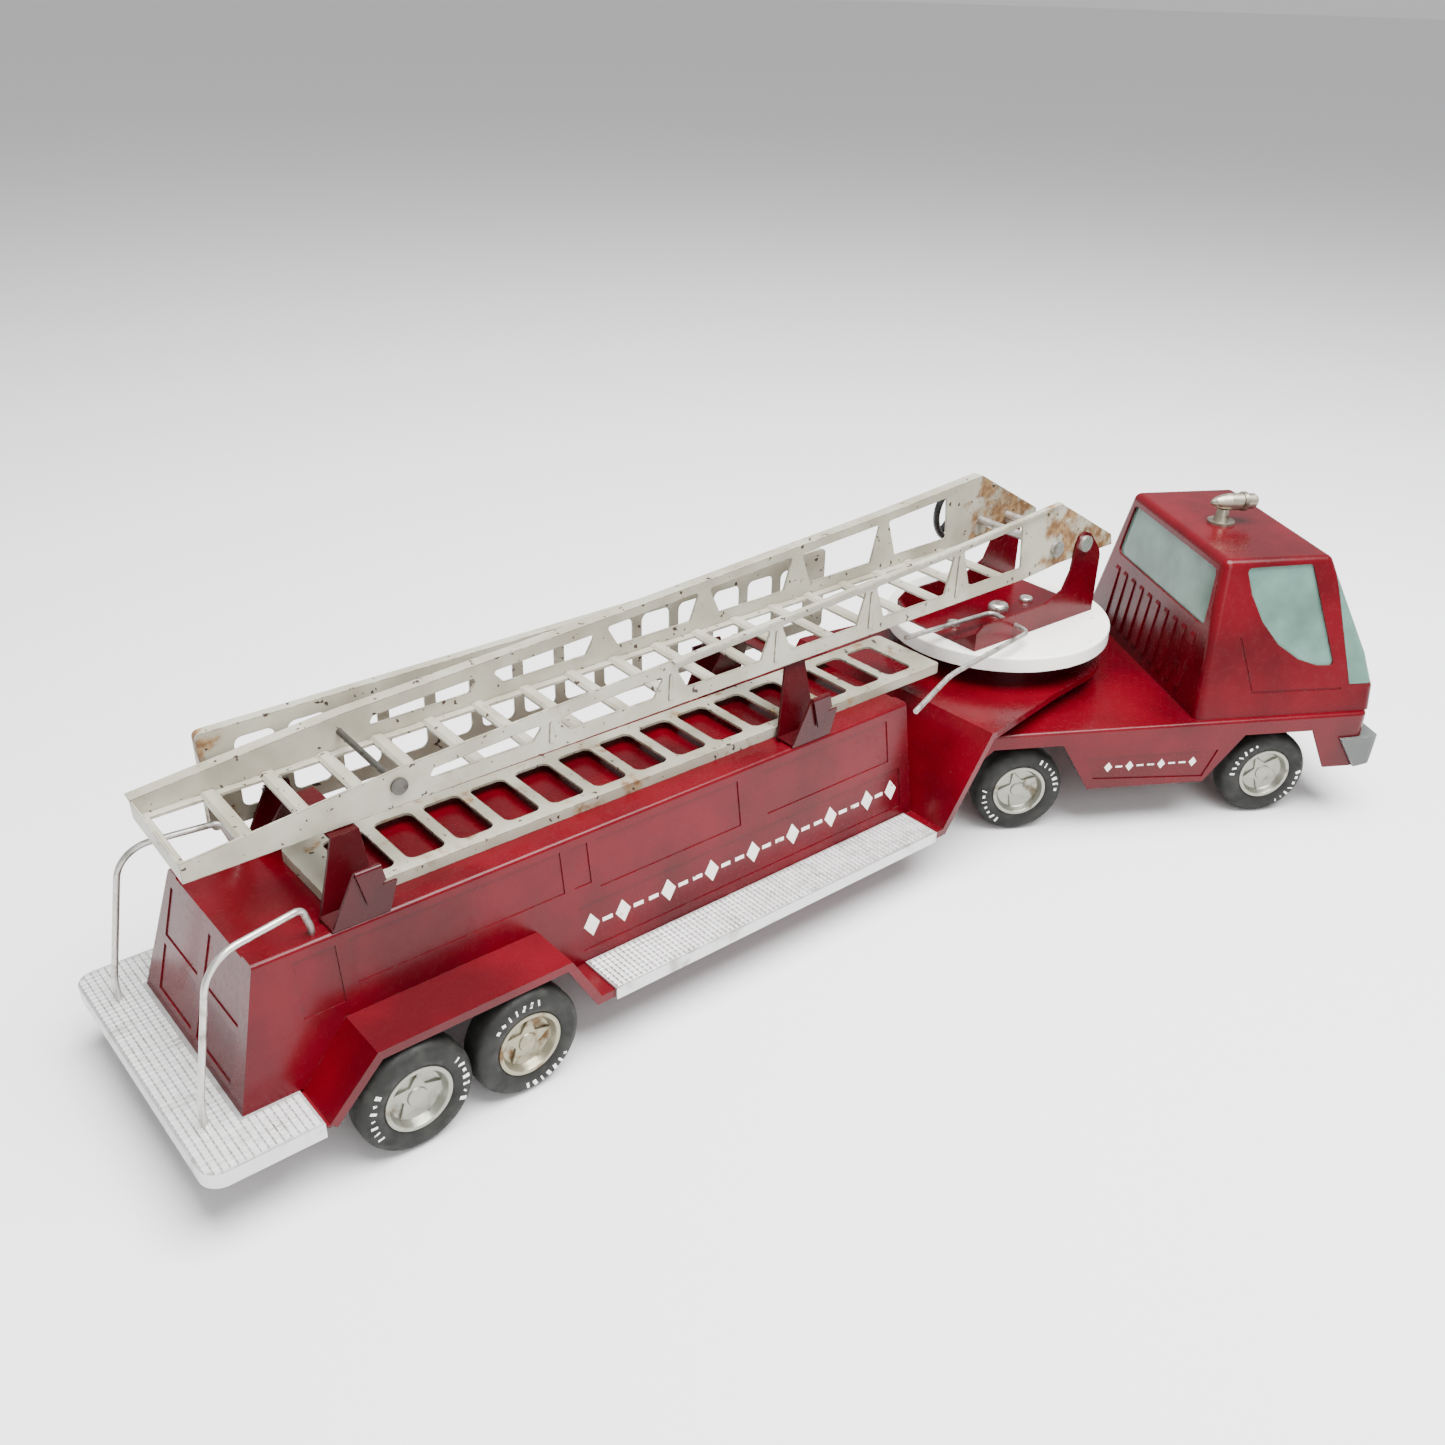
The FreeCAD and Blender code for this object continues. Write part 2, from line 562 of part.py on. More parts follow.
def aerial_ladder():
    """The aerial ladder: an open trough with gusseted walls, a rung floor and front hinge plates."""
    t = SHEET
    line = [(-s, n - LAD_N) for s, n in LAD_TOP]
    outline = [(-LAD_LEN, -LAD_N)] + line + [(28.0, -1.4), (30.0, 2.4 - LAD_N), (-20.0, 2.4 - LAD_N), (-50.0, -LAD_N)]
    wall = prism_y(outline, LAD_HALF - t, LAD_HALF).cut(Part.makeCompound(wall_openings()))
    chord = box(-LAD_LEN, -50.0, LAD_HALF - 6.0, LAD_HALF, -LAD_N, t - LAD_N)
    end = box(-LAD_LEN, -LAD_LEN + 5.5, -LAD_HALF, LAD_HALF, -LAD_N, t - LAD_N)
    tip = box(-LAD_LEN, -LAD_LEN + t, -LAD_HALF, LAD_HALF, -LAD_N, 8.6 - LAD_N)
    flange_left = band_y(line, t, LAD_HALF - t, LAD_HALF + LEFT_FLANGE)
    narrow = [p for p in line if p[0] > -320.0]
    flange_right = mirrored(band_y(narrow, t, LAD_HALF - t, LAD_HALF + RIGHT_FLANGE))
    pieces = [wall, mirrored(wall), chord, mirrored(chord), end, tip, flange_left, flange_right] + gusset_ribs()
    s = LAD_LEN - 5.2 - RUNG_PITCH
    base = -LAD_N
    w = RUNG_W / 2.0
    while s > 56.0:
        section = [(-s - w, base), (-s - w, base + 1.2), (-s - 2.2, base + 2.4), (-s + 2.2, base + 2.4),
                   (-s + w, base + 1.2), (-s + w, base)]
        pieces.append(prism_y(section, -LAD_HALF + 0.5, LAD_HALF - 0.5))
        s -= RUNG_PITCH
    body = fuse(pieces)
    body = body.cut(rod_y(0, 0, -50, 50, HINGE_R + RUN))
    body = body.cut(rod_y(-SHAFT_S, SHAFT_N - LAD_N, -50, 50, HINGE_R + RUN))
    body = body.cut(rod_y(-454.0, -0.8, -50, 50, 1.6))
    return on_ladder(body)


def gusset_ribs():
    """Embossed ribs, one up the middle of each wall gusset."""
    ribs = []
    for s in GUSSETS:
        low, high = 4.5 - LAD_N, top_edge(s) - 7.0 - LAD_N
        rib = prism_y([(-s - 1.6, low), (-s + 1.6, low), (-s + 0.6, high), (-s - 0.6, high)],
                      LAD_HALF - 0.5, LAD_HALF + 0.7)
        ribs += [rib, mirrored(rib)]
    return ribs


def headed_rod(x, z, half, r, head_r, head_t):
    """A rod across the ladder with a flat rivet head on each end."""
    shank = rod_y(x, z, -half, half, r)
    head = rod_y(x, z, half, half + head_t, head_r)
    return fuse([shank, head, mirrored(head)])


def cross_rod():
    return on_ladder(headed_rod(-454.0, -0.8, LAD_HALF, 1.6, 4.0, 1.3))


def hinge_rod():
    return on_ladder(headed_rod(0, 0, LAD_HALF + 1.9, HINGE_R, 5.0, 2.2))


def handwheel_shaft():
    """The shaft through both front plates that the handwheel is pressed on."""
    shaft = rod_y(-SHAFT_S, SHAFT_N - LAD_N, -LAD_HALF - SLIP, WHEEL_Y + 4.0, HINGE_R)
    head = rod_y(-SHAFT_S, SHAFT_N - LAD_N, -LAD_HALF - SLIP - 2.4, -LAD_HALF - SLIP, 5.0)
    return on_ladder(fuse([shaft, head]))


def handwheel():
    """A three-spoked wheel moulded in black plastic."""
    tube = 2.1
    rim = Part.makeTorus(WHEEL_R - tube, tube, V(0, WHEEL_Y, 0), V(0, 1, 0))
    pieces = [rim, rod_y(0, 0, WHEEL_Y - 4.0, WHEEL_Y + 4.0, 5.2)]
    for k in range(3):
        spoke = box(3.0, WHEEL_R - tube, WHEEL_Y - 1.3, WHEEL_Y + 1.3, -1.8, 1.8)
        spoke.rotate(V(0, WHEEL_Y, 0), V(0, 1, 0), 120 * k + 20)
        pieces.append(spoke)
    body = fuse(pieces).cut(rod_y(0, 0, WHEEL_Y - 6, WHEEL_Y + 6, HINGE_R))
    body.translate(V(-SHAFT_S, 0, SHAFT_N - LAD_N))
    return on_ladder(body)


# ---------------------------------------------------------------- tractor
def tractor_chassis():
    """The deck and its skirts with wheel arches, open underneath."""
    x0, x1, h = DECK_X0, DECK_X1, DECK_HALF
    upright = V(0, 0, 1)
    full = box(x0, x1, -h, h, SKIRT_Z, DECK_Z)
    full = round_edges(full, 6.0, lambda e: along(e, upright) and e.BoundBox.XMin > x1 - 1)
    full = round_edges(full, 2.0, lambda e: along(e, V(1, 0, 0)) and e.BoundBox.ZMin > DECK_Z - 1)
    hollow = box(x0 + SHEET, x1 - SHEET, -h + SHEET, h - SHEET, SKIRT_Z - 1, DECK_Z - SHEET)
    hollow = round_edges(hollow, 5.0, lambda e: along(e, upright) and e.BoundBox.XMin > x1 - 5)
    body = full.cut(hollow)
    body = body.cut(box(x0 - 1, x0 + 5, -h + SHEET, h - SHEET, SKIRT_Z - 1, DECK_Z - 8.0))
    z0 = SKIRT_Z - 1
    rear = [(x0 - 1, z0), (x0 - 1, 46.0), (x0 + 5.0, 46.0), (-15.2, 59.5), (27.0, 59.5), (46.3, z0)]
    front = [(118.4, z0), (141.0, 58.7), (184.4, 58.7), (199.2, z0)]
    body = body.cut(prism_y(rear, -100, 100)).cut(prism_y(front, -100, 100))
    body = body.cut(prism_y([(199.0, z0), (230.0, z0), (230.0, 32.6), (196.5, 32.6)], -100, 100))
    panel = prism_y([(48.4, 35.4), (42.4, 50.1), (125.6, 49.9), (118.2, 32.2)], h - 0.8, h + 2)
    body = body.cut(pair(panel))
    body = body.cut(rod_z(0, 0, 60, 80, KINGPIN_R))
    return in_tractor(body)


def cab_block(inset):
    """The cab as a block with a leaning back, sloping sides and a bent front."""
    back = [(CAB_BACK[0] + inset, DECK_Z), (CAB_BACK[1] + inset, CAB_Z - inset)]
    front = [(x - inset, min(z, CAB_Z - inset)) for x, z in CAB_FRONT]
    side = prism_y([back[0]] + front + [back[1]], -100, 100)
    lean = (CAB_HALF - ROOF_HALF) / (CAB_Z - DECK_Z)
    low = CAB_HALF - inset
    high = ROOF_HALF + lean * inset - inset
    section = prism_x([(-low, DECK_Z), (low, DECK_Z), (high, CAB_Z - inset), (-high, CAB_Z - inset)], 50, 300)
    return side.common(section)


def is_cab_corner(e):
    """The long slanting edges where the walls meet, and the edges round the roof."""
    return e.BoundBox.ZLength > 8.0 or e.BoundBox.ZMin > DECK_Z + 60.0


def windshield_gap(inset):
    """The opening in front of the windshield posts, drawn in by inset all round."""
    i = inset
    return prism_y([(190.0 + i, 155.6 - i), (206.0 + i, 84.6 + i), (240, 84.6 + i), (240, 155.6 - i)], -100, 100)


def cab_shell():
    """The pressed cab: walls and roof with window openings and fluting low on the back."""
    outer = round_edges(cab_block(0.0), 5.0, is_cab_corner)
    inner = round_edges(cab_block(CAB_WALL), 3.6, is_cab_corner)
    body = outer.cut(inner)
    side = [(134.3, 155.6), (175.5, 156.4), (195.2, 96.2), (185.0, 96.6), (172.0, 101.0), (158.0, 110.5),
            (146.5, 124.5), (138.5, 140.5)]
    window = prism_y(side, -100, 100)
    window = round_edges(window, 2.5, lambda e: along(e, V(0, 1, 0)))
    body = body.cut(window).cut(windshield_gap(0.0))
    rear = prism_x([(-61.0, 119.0), (61.0, 119.0), (56.0, 153.0), (-56.0, 153.0)], 90, 150)
    rear = round_edges(rear, 4.0, lambda e: along(e, V(1, 0, 0)))
    door = prism_y([(132.9, 116.0), (134.3, 116.0), (143.8, 84.0), (201.0, 83.2), (201.0, 82.0), (142.8, 82.6)],
                   -100, 100)
    groove = door.common(cab_block(-1.0).cut(cab_block(0.5)))
    body = body.cut(rear).cut(groove)
    ribs = []
    slope = (CAB_BACK[1] - CAB_BACK[0]) / (CAB_Z - DECK_Z)
    for k in range(10):
        y = -54.0 + 12.0 * k
        xa = CAB_BACK[0] + (75.0 - DECK_Z) * slope
        xb = CAB_BACK[0] + (112.0 - DECK_Z) * slope
        rib = prism_y([(xa - 0.2, 75.0), (xa - 1.1, 77.0), (xb - 1.1, 110.0), (xb - 0.2, 112.0), (xb + 0.6, 112.0),
                       (xa + 0.6, 75.0)], y - 2.4, y + 2.4)
        ribs.append(rib)
    return in_tractor(fuse([body] + ribs))


def cab_glazing():
    """The clear moulding inside the cab that fills all its windows."""
    outer = round_edges(cab_block(CAB_WALL + 0.1), 3.5, is_cab_corner)
    inner = round_edges(cab_block(CAB_WALL + 1.1), 2.6, is_cab_corner)
    lining = outer.cut(inner).common(box(0, 300, -100, 100, 80.0, CAB_Z - 3.0))
    skin = round_edges(cab_block(0.1), 4.9, is_cab_corner)
    pane = skin.cut(round_edges(cab_block(CAB_WALL + 0.4), 3.2, is_cab_corner)).common(windshield_gap(0.25))
    return in_tractor(fuse([lining, pane]))


def bumper():
    """The front bumper: a faceted bar whose ends wrap round the corners of the deck."""
    reach = DECK_HALF + 2.2
    profile = [(203.5, 52.3), (228.0, 53.3), (225.2, 34.7), (215.8, 32.8), (206.9, 46.5)]
    bar = prism_y(profile, -reach, reach)
    plan = box(195.0, 230.0, -reach, reach, 0, 100)
    plan = round_edges(plan, 7.0, lambda e: along(e, V(0, 0, 1)) and e.BoundBox.XMin > 229)
    inner = box(190.0, DECK_X1 + 0.1, -DECK_HALF - 0.1, DECK_HALF + 0.1, 0, 100)
    inner = round_edges(inner, 5.9, lambda e: along(e, V(0, 0, 1)) and e.BoundBox.XMin > DECK_X1 - 1)
    return in_tractor(bar.common(plan).cut(inner))


def siren_foot():
    disc = rod_z(149.0, 0, CAB_Z, CAB_Z + 1.6, 8.2)
    post = Part.makeCone(5.0, 3.2, 8.0, V(149.0, 0, CAB_Z + 1.0), V(0, 0, 1))
    return in_tractor(fuse([disc, post]).cut(siren_body_at_origin()))


def siren_body_at_origin():
    z = CAB_Z + 13.2
    profile = [(140.0, 0.0), (140.6, 1.5), (143.0, 3.2), (147.0, 4.6), (152.0, 5.2), (160.0, 5.2), (160.0, 6.0), (162.4, 6.0),
               (162.4, 5.0), (168.0, 4.6), (169.6, 3.4), (169.6, 0.0)]
    wire = Part.makePolygon([V(x, 0, z + r) for x, r in profile] + [V(profile[0][0], 0, z)])
    return Part.Face(wire).revolve(V(0, 0, z), V(1, 0, 0), 360)


def siren():
    return in_tractor(siren_body_at_origin())


def kingpin():
    """The pin that joins the tractor to the gooseneck, headed above and below."""
    top = NECK_Z + SLIP
    shank = rod_z(KINGPIN_X, 0, DECK_Z - SHEET - 2.4, top + 2.6, KINGPIN_R)
    head = rod_z(KINGPIN_X, 0, top, top + 3.0, 8.0)
    tail = rod_z(KINGPIN_X, 0, DECK_Z - SHEET - 2.4, DECK_Z - SHEET, 7.0)
    return fuse([shank, head, tail])


def hitch_spacer():
    """The collar on the deck that holds the gooseneck up to its height."""
    ring = rod_z(KINGPIN_X, 0, DECK_Z, NECK_Z - SHEET - SLIP, 15.0)
    return ring.cut(rod_z(KINGPIN_X, 0, DECK_Z - 1, NECK_Z, KINGPIN_R))


# ---------------------------------------------------------------- all the pieces
def all_pieces():
    under_deck = DECK_Z - SHEET
    pieces = wheel_sets()
    pieces.update({
        "trailer_chassis": trailer_chassis(),
        "trailer_body": trailer_body(),
        "trailer_axle_carrier": axle_carrier(TRAILER_AXLES, FENDER_Z - SHEET),
        "rear_step": rear_step(),
        "running_board_left": running_board(),
        "running_board_right": mirrored(running_board()),
        "grab_rail_left": grab_rail(),
        "grab_rail_right": mirrored(grab_rail()),
        "rear_cradle": cradle(CRADLES[0]),
        "front_cradle": cradle(CRADLES[1]),
        "spare_ladder": spare_ladder(),
        "side_ladder": side_ladder(),
        "turntable_pedestal": pedestal(),
        "turntable": turntable(),
        "turntable_rivet": pivot_rivet(),
        "pivot_bracket": pivot_bracket(),
        "bracket_screws": bracket_screws(),
        "wire_handle": wire_handle(),
        "aerial_ladder": aerial_ladder(),
        "aerial_hinge_rod": hinge_rod(),
        "aerial_cross_rod": cross_rod(),
        "handwheel_shaft": handwheel_shaft(),
        "handwheel": handwheel(),
        "tractor_chassis": tractor_chassis(),
        "tractor_rear_carrier": in_tractor(axle_carrier(TRACTOR_AXLES[:1], under_deck)),
        "tractor_front_carrier": in_tractor(axle_carrier(TRACTOR_AXLES[1:], under_deck)),
        "cab_shell": cab_shell(),
        "cab_glazing": cab_glazing(),
        "front_bumper": bumper(),
        "siren_foot": siren_foot(),
        "siren": siren(),
        "kingpin": kingpin(),
        "hitch_spacer": hitch_spacer(),
    })
    return pieces


def shift_to_middle(pieces):
    """The move that puts the origin under the middle of the whole truck."""
    whole = FreeCAD.BoundBox()
    for shape in pieces.values():
        whole.add(shape.optimalBoundingBox(False))
    return V(-whole.Center.x, -whole.Center.y, 0)


PIECES = all_pieces()
SHIFT = shift_to_middle(PIECES)
for node, piece in PIECES.items():
    piece.translate(SHIFT)
    piece.exportStep("parts/%s.step" % node)
print("shift", round(SHIFT.x, 3), round(SHIFT.y, 3))
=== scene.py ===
import math
import random

import bmesh
import bpy
from mathutils import Matrix, Vector


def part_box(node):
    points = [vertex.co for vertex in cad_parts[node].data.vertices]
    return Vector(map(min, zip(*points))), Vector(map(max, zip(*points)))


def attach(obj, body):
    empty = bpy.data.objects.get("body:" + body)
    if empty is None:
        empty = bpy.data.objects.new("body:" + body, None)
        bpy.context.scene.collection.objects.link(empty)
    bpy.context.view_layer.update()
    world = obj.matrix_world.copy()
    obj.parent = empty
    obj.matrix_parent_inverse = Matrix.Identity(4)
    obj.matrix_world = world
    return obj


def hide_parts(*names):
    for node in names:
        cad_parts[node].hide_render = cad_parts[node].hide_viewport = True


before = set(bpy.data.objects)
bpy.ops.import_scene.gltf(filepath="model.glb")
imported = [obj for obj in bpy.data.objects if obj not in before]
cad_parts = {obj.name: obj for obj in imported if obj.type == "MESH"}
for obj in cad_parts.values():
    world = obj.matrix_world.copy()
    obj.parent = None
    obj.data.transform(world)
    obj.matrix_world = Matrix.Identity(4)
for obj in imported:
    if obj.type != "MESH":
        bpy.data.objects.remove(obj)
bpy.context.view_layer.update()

# ---------------------------------------------------------------- red pressings
# The trailer's body and chassis, the tractor's deck and the cab are pressed from thin steel and
# dipped in cherry-red enamel. The gloss is rubbed, and edges and corners are chipped to bare metal.
MM = 0.001


class Value:
    """A shader socket that the usual signs work on."""

    def __init__(self, finish, socket):
        self.finish = finish
        self.socket = socket

    def maths(self, operation, a, b):
        return self.finish.node("ShaderNodeMath", {"operation": operation}, {0: a, 1: b})

    def __add__(self, other):
        return self.maths("ADD", self, other)

    def __sub__(self, other):
        return self.maths("SUBTRACT", self, other)

    def __rsub__(self, other):
        return self.maths("SUBTRACT", other, self)

    def __mul__(self, other):
        return self.maths("MULTIPLY", self, other)

    __radd__ = __add__
    __rmul__ = __mul__


class Finish:
    """A material with one Principled shader. Keywords are its constant sockets."""

    def __init__(self, name, **constants):
        self.material = bpy.data.materials.new(name)
        self.material.use_nodes = True
        self.tree = self.material.node_tree
        self.shader = self.tree.nodes["Principled BSDF"]
        for socket, value in constants.items():
            self.shader.inputs[socket.replace("_", " ")].default_value = value
        self.place = self.node("ShaderNodeTexCoord", {}, {}, "Object")

    def node(self, kind, settings, inputs, output=0):
        """Adds a node: settings first, then the values or links of its sockets."""
        made = self.tree.nodes.new(kind)
        for name, value in settings.items():
            setattr(made, name, value)
        for key, value in inputs.items():
            if isinstance(value, Value):
                self.tree.links.new(value.socket, made.inputs[key])
            else:
                made.inputs[key].default_value = value
        return Value(self, made.outputs[output])

    def noise(self, size, detail=3.0, stretch=(1.0, 1.0, 1.0)):
        """Noise with features of about that size in metres."""
        scale = tuple(s / size for s in stretch)
        place = self.node("ShaderNodeMapping", {}, {"Vector": self.place, "Scale": scale})
        return self.node("ShaderNodeTexNoise", {}, {"Vector": place, "Scale": 1.0, "Detail": detail})

    def ramp(self, value, low, high, start=0.0, end=1.0):
        """A smooth change from start to end as value goes from low to high."""
        sockets = {0: value, 1: low, 2: high, 3: start, 4: end}
        return self.node("ShaderNodeMapRange", {"interpolation_type": "SMOOTHSTEP"}, sockets)

    def blend(self, mask, a, b):
        """Colour a where mask is 0 and b where it is 1."""
        return self.node("ShaderNodeMix", {"data_type": "RGBA"}, {0: mask, 6: a, 7: b}, 2)

    def edge(self, radius):
        """Rises from 0 on flat faces towards 1 within radius of a sharp edge."""
        soft = self.node("ShaderNodeBevel", {"samples": 4}, {"Radius": radius})
        true = self.node("ShaderNodeNewGeometry", {}, {}, "Normal")
        flat = self.node("ShaderNodeVectorMath", {"operation": "DOT_PRODUCT"}, {0: soft, 1: true}, "Value")
        return self.ramp(1.0 - flat, 0.01, 0.16)

    def axis(self, name):
        """The X, Y or Z place in metres."""
        return self.node("ShaderNodeSeparateXYZ", {}, {0: self.place}, name)

    def feed(self, **sockets):
        for socket, value in sockets.items():
            self.tree.links.new(value.socket, self.shader.inputs[socket.replace("_", " ")])
        return self

    def bump(self, height, distance, strength=1.0):
        sockets = {"Height": height, "Distance": distance, "Strength": strength}
        return self.feed(Normal=self.node("ShaderNodeBump", {}, sockets))


def enamel(name, colour, deep, bare, chips, gloss=0.22):
    """Enamel that varies from colour to deep, with bare metal at chipped edges."""
    f = Finish(name, Coat_Weight=0.06, Coat_Roughness=0.12, Specular_IOR_Level=0.20)
    cloud = f.ramp(f.noise(0.05, 4.0), 0.3, 0.7)
    fine = f.noise(0.004, 4.0)
    speck = f.ramp(f.noise(0.0026, 2.0), 0.74 - 0.06 * chips, 0.77 - 0.06 * chips)
    worn = f.ramp(f.edge(0.0007) * f.noise(0.006, 3.0), 0.60 - 0.2 * chips, 0.66 - 0.2 * chips)
    chipped = f.ramp(worn + speck * 0.7 * f.ramp(f.noise(0.03), 0.60, 0.68), 0.3, 0.5)
    paint = f.blend(cloud, colour, deep)
    f.feed(Base_Color=f.blend(chipped, paint, bare))
    f.feed(Roughness=f.ramp(fine + chipped, 0.3, 1.6, gloss, 0.62))
    return f.bump(f.noise(0.004, 2.0) - 0.3 * chipped, 0.00003)


def finish_nodes(finish, *nodes):
    """Gives these CAD nodes the finish in every slot."""
    for node in nodes:
        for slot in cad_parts[node].material_slots:
            slot.material = finish.material


RED = (0.104, 0.0008, 0.0052, 1)
DEEP_RED = (0.055, 0.0006, 0.0030, 1)
BARE = (0.045, 0.018, 0.014, 1)
red_enamel = enamel("red_enamel", RED, DEEP_RED, BARE, 0.35)
finish_nodes(red_enamel, "trailer_body", "trailer_chassis", "tractor_chassis", "cab_shell",
             "pivot_bracket")

# ---------------------------------------------------------------- cradles and drum
# The ladder cradles and the drum under the turntable are bent and pressed from the same steel, and
# their red enamel is painted darker than the body's as painted shade, for the shade they sit in.
# A darker copy of the body's red: painted shade for the cradles and the drum, not dirt.
shaded_red_enamel = enamel("dark_red_enamel", (0.048, 0.0008, 0.0028, 1), (0.030, 0.0006, 0.0018, 1), BARE, 0.5)
finish_nodes(shaded_red_enamel, "rear_cradle", "front_cradle", "turntable_pedestal")

# ---------------------------------------------------------------- axles and carriers
# Axles, their folded carriers and the collar round the kingpin are plain steel with a thin film of
# oil and dust.
plain = Finish("plain_steel", Metallic=0.8)
dust = plain.ramp(plain.noise(0.02, 5.0), 0.35, 0.7)
plain.feed(Base_Color=plain.blend(dust, (0.30, 0.29, 0.28, 1), (0.16, 0.13, 0.11, 1)))
plain.feed(Roughness=plain.ramp(plain.noise(0.006, 3.0), 0.3, 0.7, 0.35, 0.6))
plain.bump(plain.noise(0.0008, 2.0, (0.2, 1.0, 1.0)), 0.00003)
finish_nodes(plain, "trailer_axle_carrier", "tractor_rear_carrier", "tractor_front_carrier",
             "hitch_spacer")
for station in ("trailer_rear", "trailer_front", "tractor_rear", "tractor_front"):
    finish_nodes(plain, station + "_axle")

# ---------------------------------------------------------------- wires, rods and rivets
# Grab rails, the bent handle and the handwheel's shaft are zinc-plated wire and rod, dulled to grey
# with a few dark marks. The rivet, the screws, the kingpin and the ladder's hinge rod are plated
# brighter, and the rod across the ladder has gone dark.
def plated(name, colour, dark, rough):
    f = Finish(name, Metallic=0.85)
    stain = f.ramp(f.noise(0.007, 4.0), 0.52, 0.72)
    f.feed(Base_Color=f.blend(stain, colour, dark))
    f.feed(Roughness=f.ramp(f.noise(0.003, 3.0), 0.3, 0.7, rough, rough + 0.2))
    return f.bump(f.noise(0.0009, 2.0), 0.00004)


zinc = plated("zinc_wire", (0.50, 0.49, 0.46, 1), (0.22, 0.19, 0.16, 1), 0.30)
bright = plated("bright_steel", (0.66, 0.64, 0.60, 1), (0.26, 0.18, 0.12, 1), 0.22)
finish_nodes(zinc, "grab_rail_left", "grab_rail_right", "wire_handle", "handwheel_shaft")
finish_nodes(bright, "turntable_rivet", "bracket_screws", "kingpin", "aerial_hinge_rod")
rod_heads = plated("cross_rod_steel", (0.10, 0.095, 0.085, 1), (0.04, 0.035, 0.03, 1), 0.42)
finish_nodes(rod_heads, "aerial_cross_rod")

# ---------------------------------------------------------------- tread plates
# The rear step and both running boards are bright aluminium with an embossed tread, rows of small
# square pads that are smaller still on the boards. Handling has dulled it.
tread = Finish("tread_aluminium", Metallic=0.75)
grime = tread.ramp(tread.noise(0.012, 5.0), 0.50, 0.80)
tread.feed(Base_Color=tread.blend(grime, (0.58, 0.58, 0.575, 1), (0.30, 0.29, 0.27, 1)))
tread.feed(Roughness=tread.ramp(tread.noise(0.004, 3.0), 0.3, 0.7, 0.28, 0.46))
tread.bump(tread.noise(0.0012, 2.0), 0.00005)
finish_nodes(tread, "rear_step", "running_board_left", "running_board_right")

rubbed_pads = Finish("tread_pads", Metallic=0.6)
dull_spots = rubbed_pads.ramp(rubbed_pads.noise(0.015, 4.0), 0.52, 0.80)
rubbed_pads.feed(Base_Color=rubbed_pads.blend(dull_spots, (0.90, 0.90, 0.89, 1), (0.55, 0.54, 0.52, 1)))
rubbed_pads.feed(Roughness=rubbed_pads.ramp(rubbed_pads.noise(0.004, 3.0), 0.3, 0.7, 0.30, 0.45))

PAD_RISE = 0.45 * MM
SHEET_LIFT = 0.03 * MM
SHEET_MARGIN = 1.0 * MM


def new_piece(name, mesh, finish, body):
    """Makes an object of a finished bmesh that rides on a body."""
    bmesh.ops.recalc_face_normals(mesh, faces=mesh.faces)
    data = bpy.data.meshes.new(name)
    mesh.to_mesh(data)
    mesh.free()
    data.materials.append(finish.material)
    piece = bpy.data.objects.new(name, data)
    bpy.context.scene.collection.objects.link(piece)
    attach(piece, body)
    return piece


def tread_sheet(name, low, high, pitch, rim, keep):
    """A sheet of raised pads on top of a plate with these corners, where keep says so."""
    length = high[0] - low[0] - 2 * SHEET_MARGIN
    width = high[1] - low[1] - 2 * SHEET_MARGIN
    mesh = bmesh.new()
    bmesh.ops.create_grid(mesh, x_segments=round(length / pitch), y_segments=round(width / pitch),
                          size=0.5)
    middle = Vector(((low[0] + high[0]) / 2, (low[1] + high[1]) / 2, high[2] + SHEET_LIFT))
    bmesh.ops.scale(mesh, vec=(length, width, 1.0), verts=mesh.verts)
    bmesh.ops.translate(mesh, vec=middle, verts=mesh.verts)
    outside = [f for f in mesh.faces if not keep(f.calc_center_median())]
    bmesh.ops.delete(mesh, geom=outside, context="FACES")
    pads = list(mesh.faces)
    bmesh.ops.inset_individual(mesh, faces=pads, thickness=rim, depth=PAD_RISE)
    for f in pads:
        f.material_index = 1
    sheet = new_piece(name, mesh, tread, "trailer")
    sheet.data.materials.append(rubbed_pads.material)
    return sheet


step_low, step_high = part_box("rear_step")
body_low, body_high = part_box("trailer_body")
STEP_CORNER = 9.5 * MM
CORNER_MARGIN = 1.2 * MM
BODY_MARGIN = 1.5 * MM


def on_step(p):
    """True on the open part of the step: inside its round corners and clear of the body."""
    dx = step_low[0] + STEP_CORNER - p.x
    dy = abs(p.y - (step_low[1] + step_high[1]) / 2) - (step_high[1] - step_low[1]) / 2 + STEP_CORNER
    if dx > 0 and dy > 0 and math.hypot(dx, dy) > STEP_CORNER - CORNER_MARGIN:
        return False
    behind = p.x <= body_low[0] - BODY_MARGIN
    beside = not body_low[1] - BODY_MARGIN < p.y < body_high[1] + BODY_MARGIN
    return behind or beside


STEP_PITCH = 3.1 * MM
STEP_RIM = 0.55 * MM
BOARD_PITCH = 2.9 * MM
BOARD_RIM = 0.75 * MM
tread_sheet("step_tread", step_low, step_high, STEP_PITCH, STEP_RIM, on_step)
for side in ("left", "right"):
    low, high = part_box("running_board_" + side)
    tread_sheet("board_tread_" + side, low, high, BOARD_PITCH, BOARD_RIM, lambda p: True)

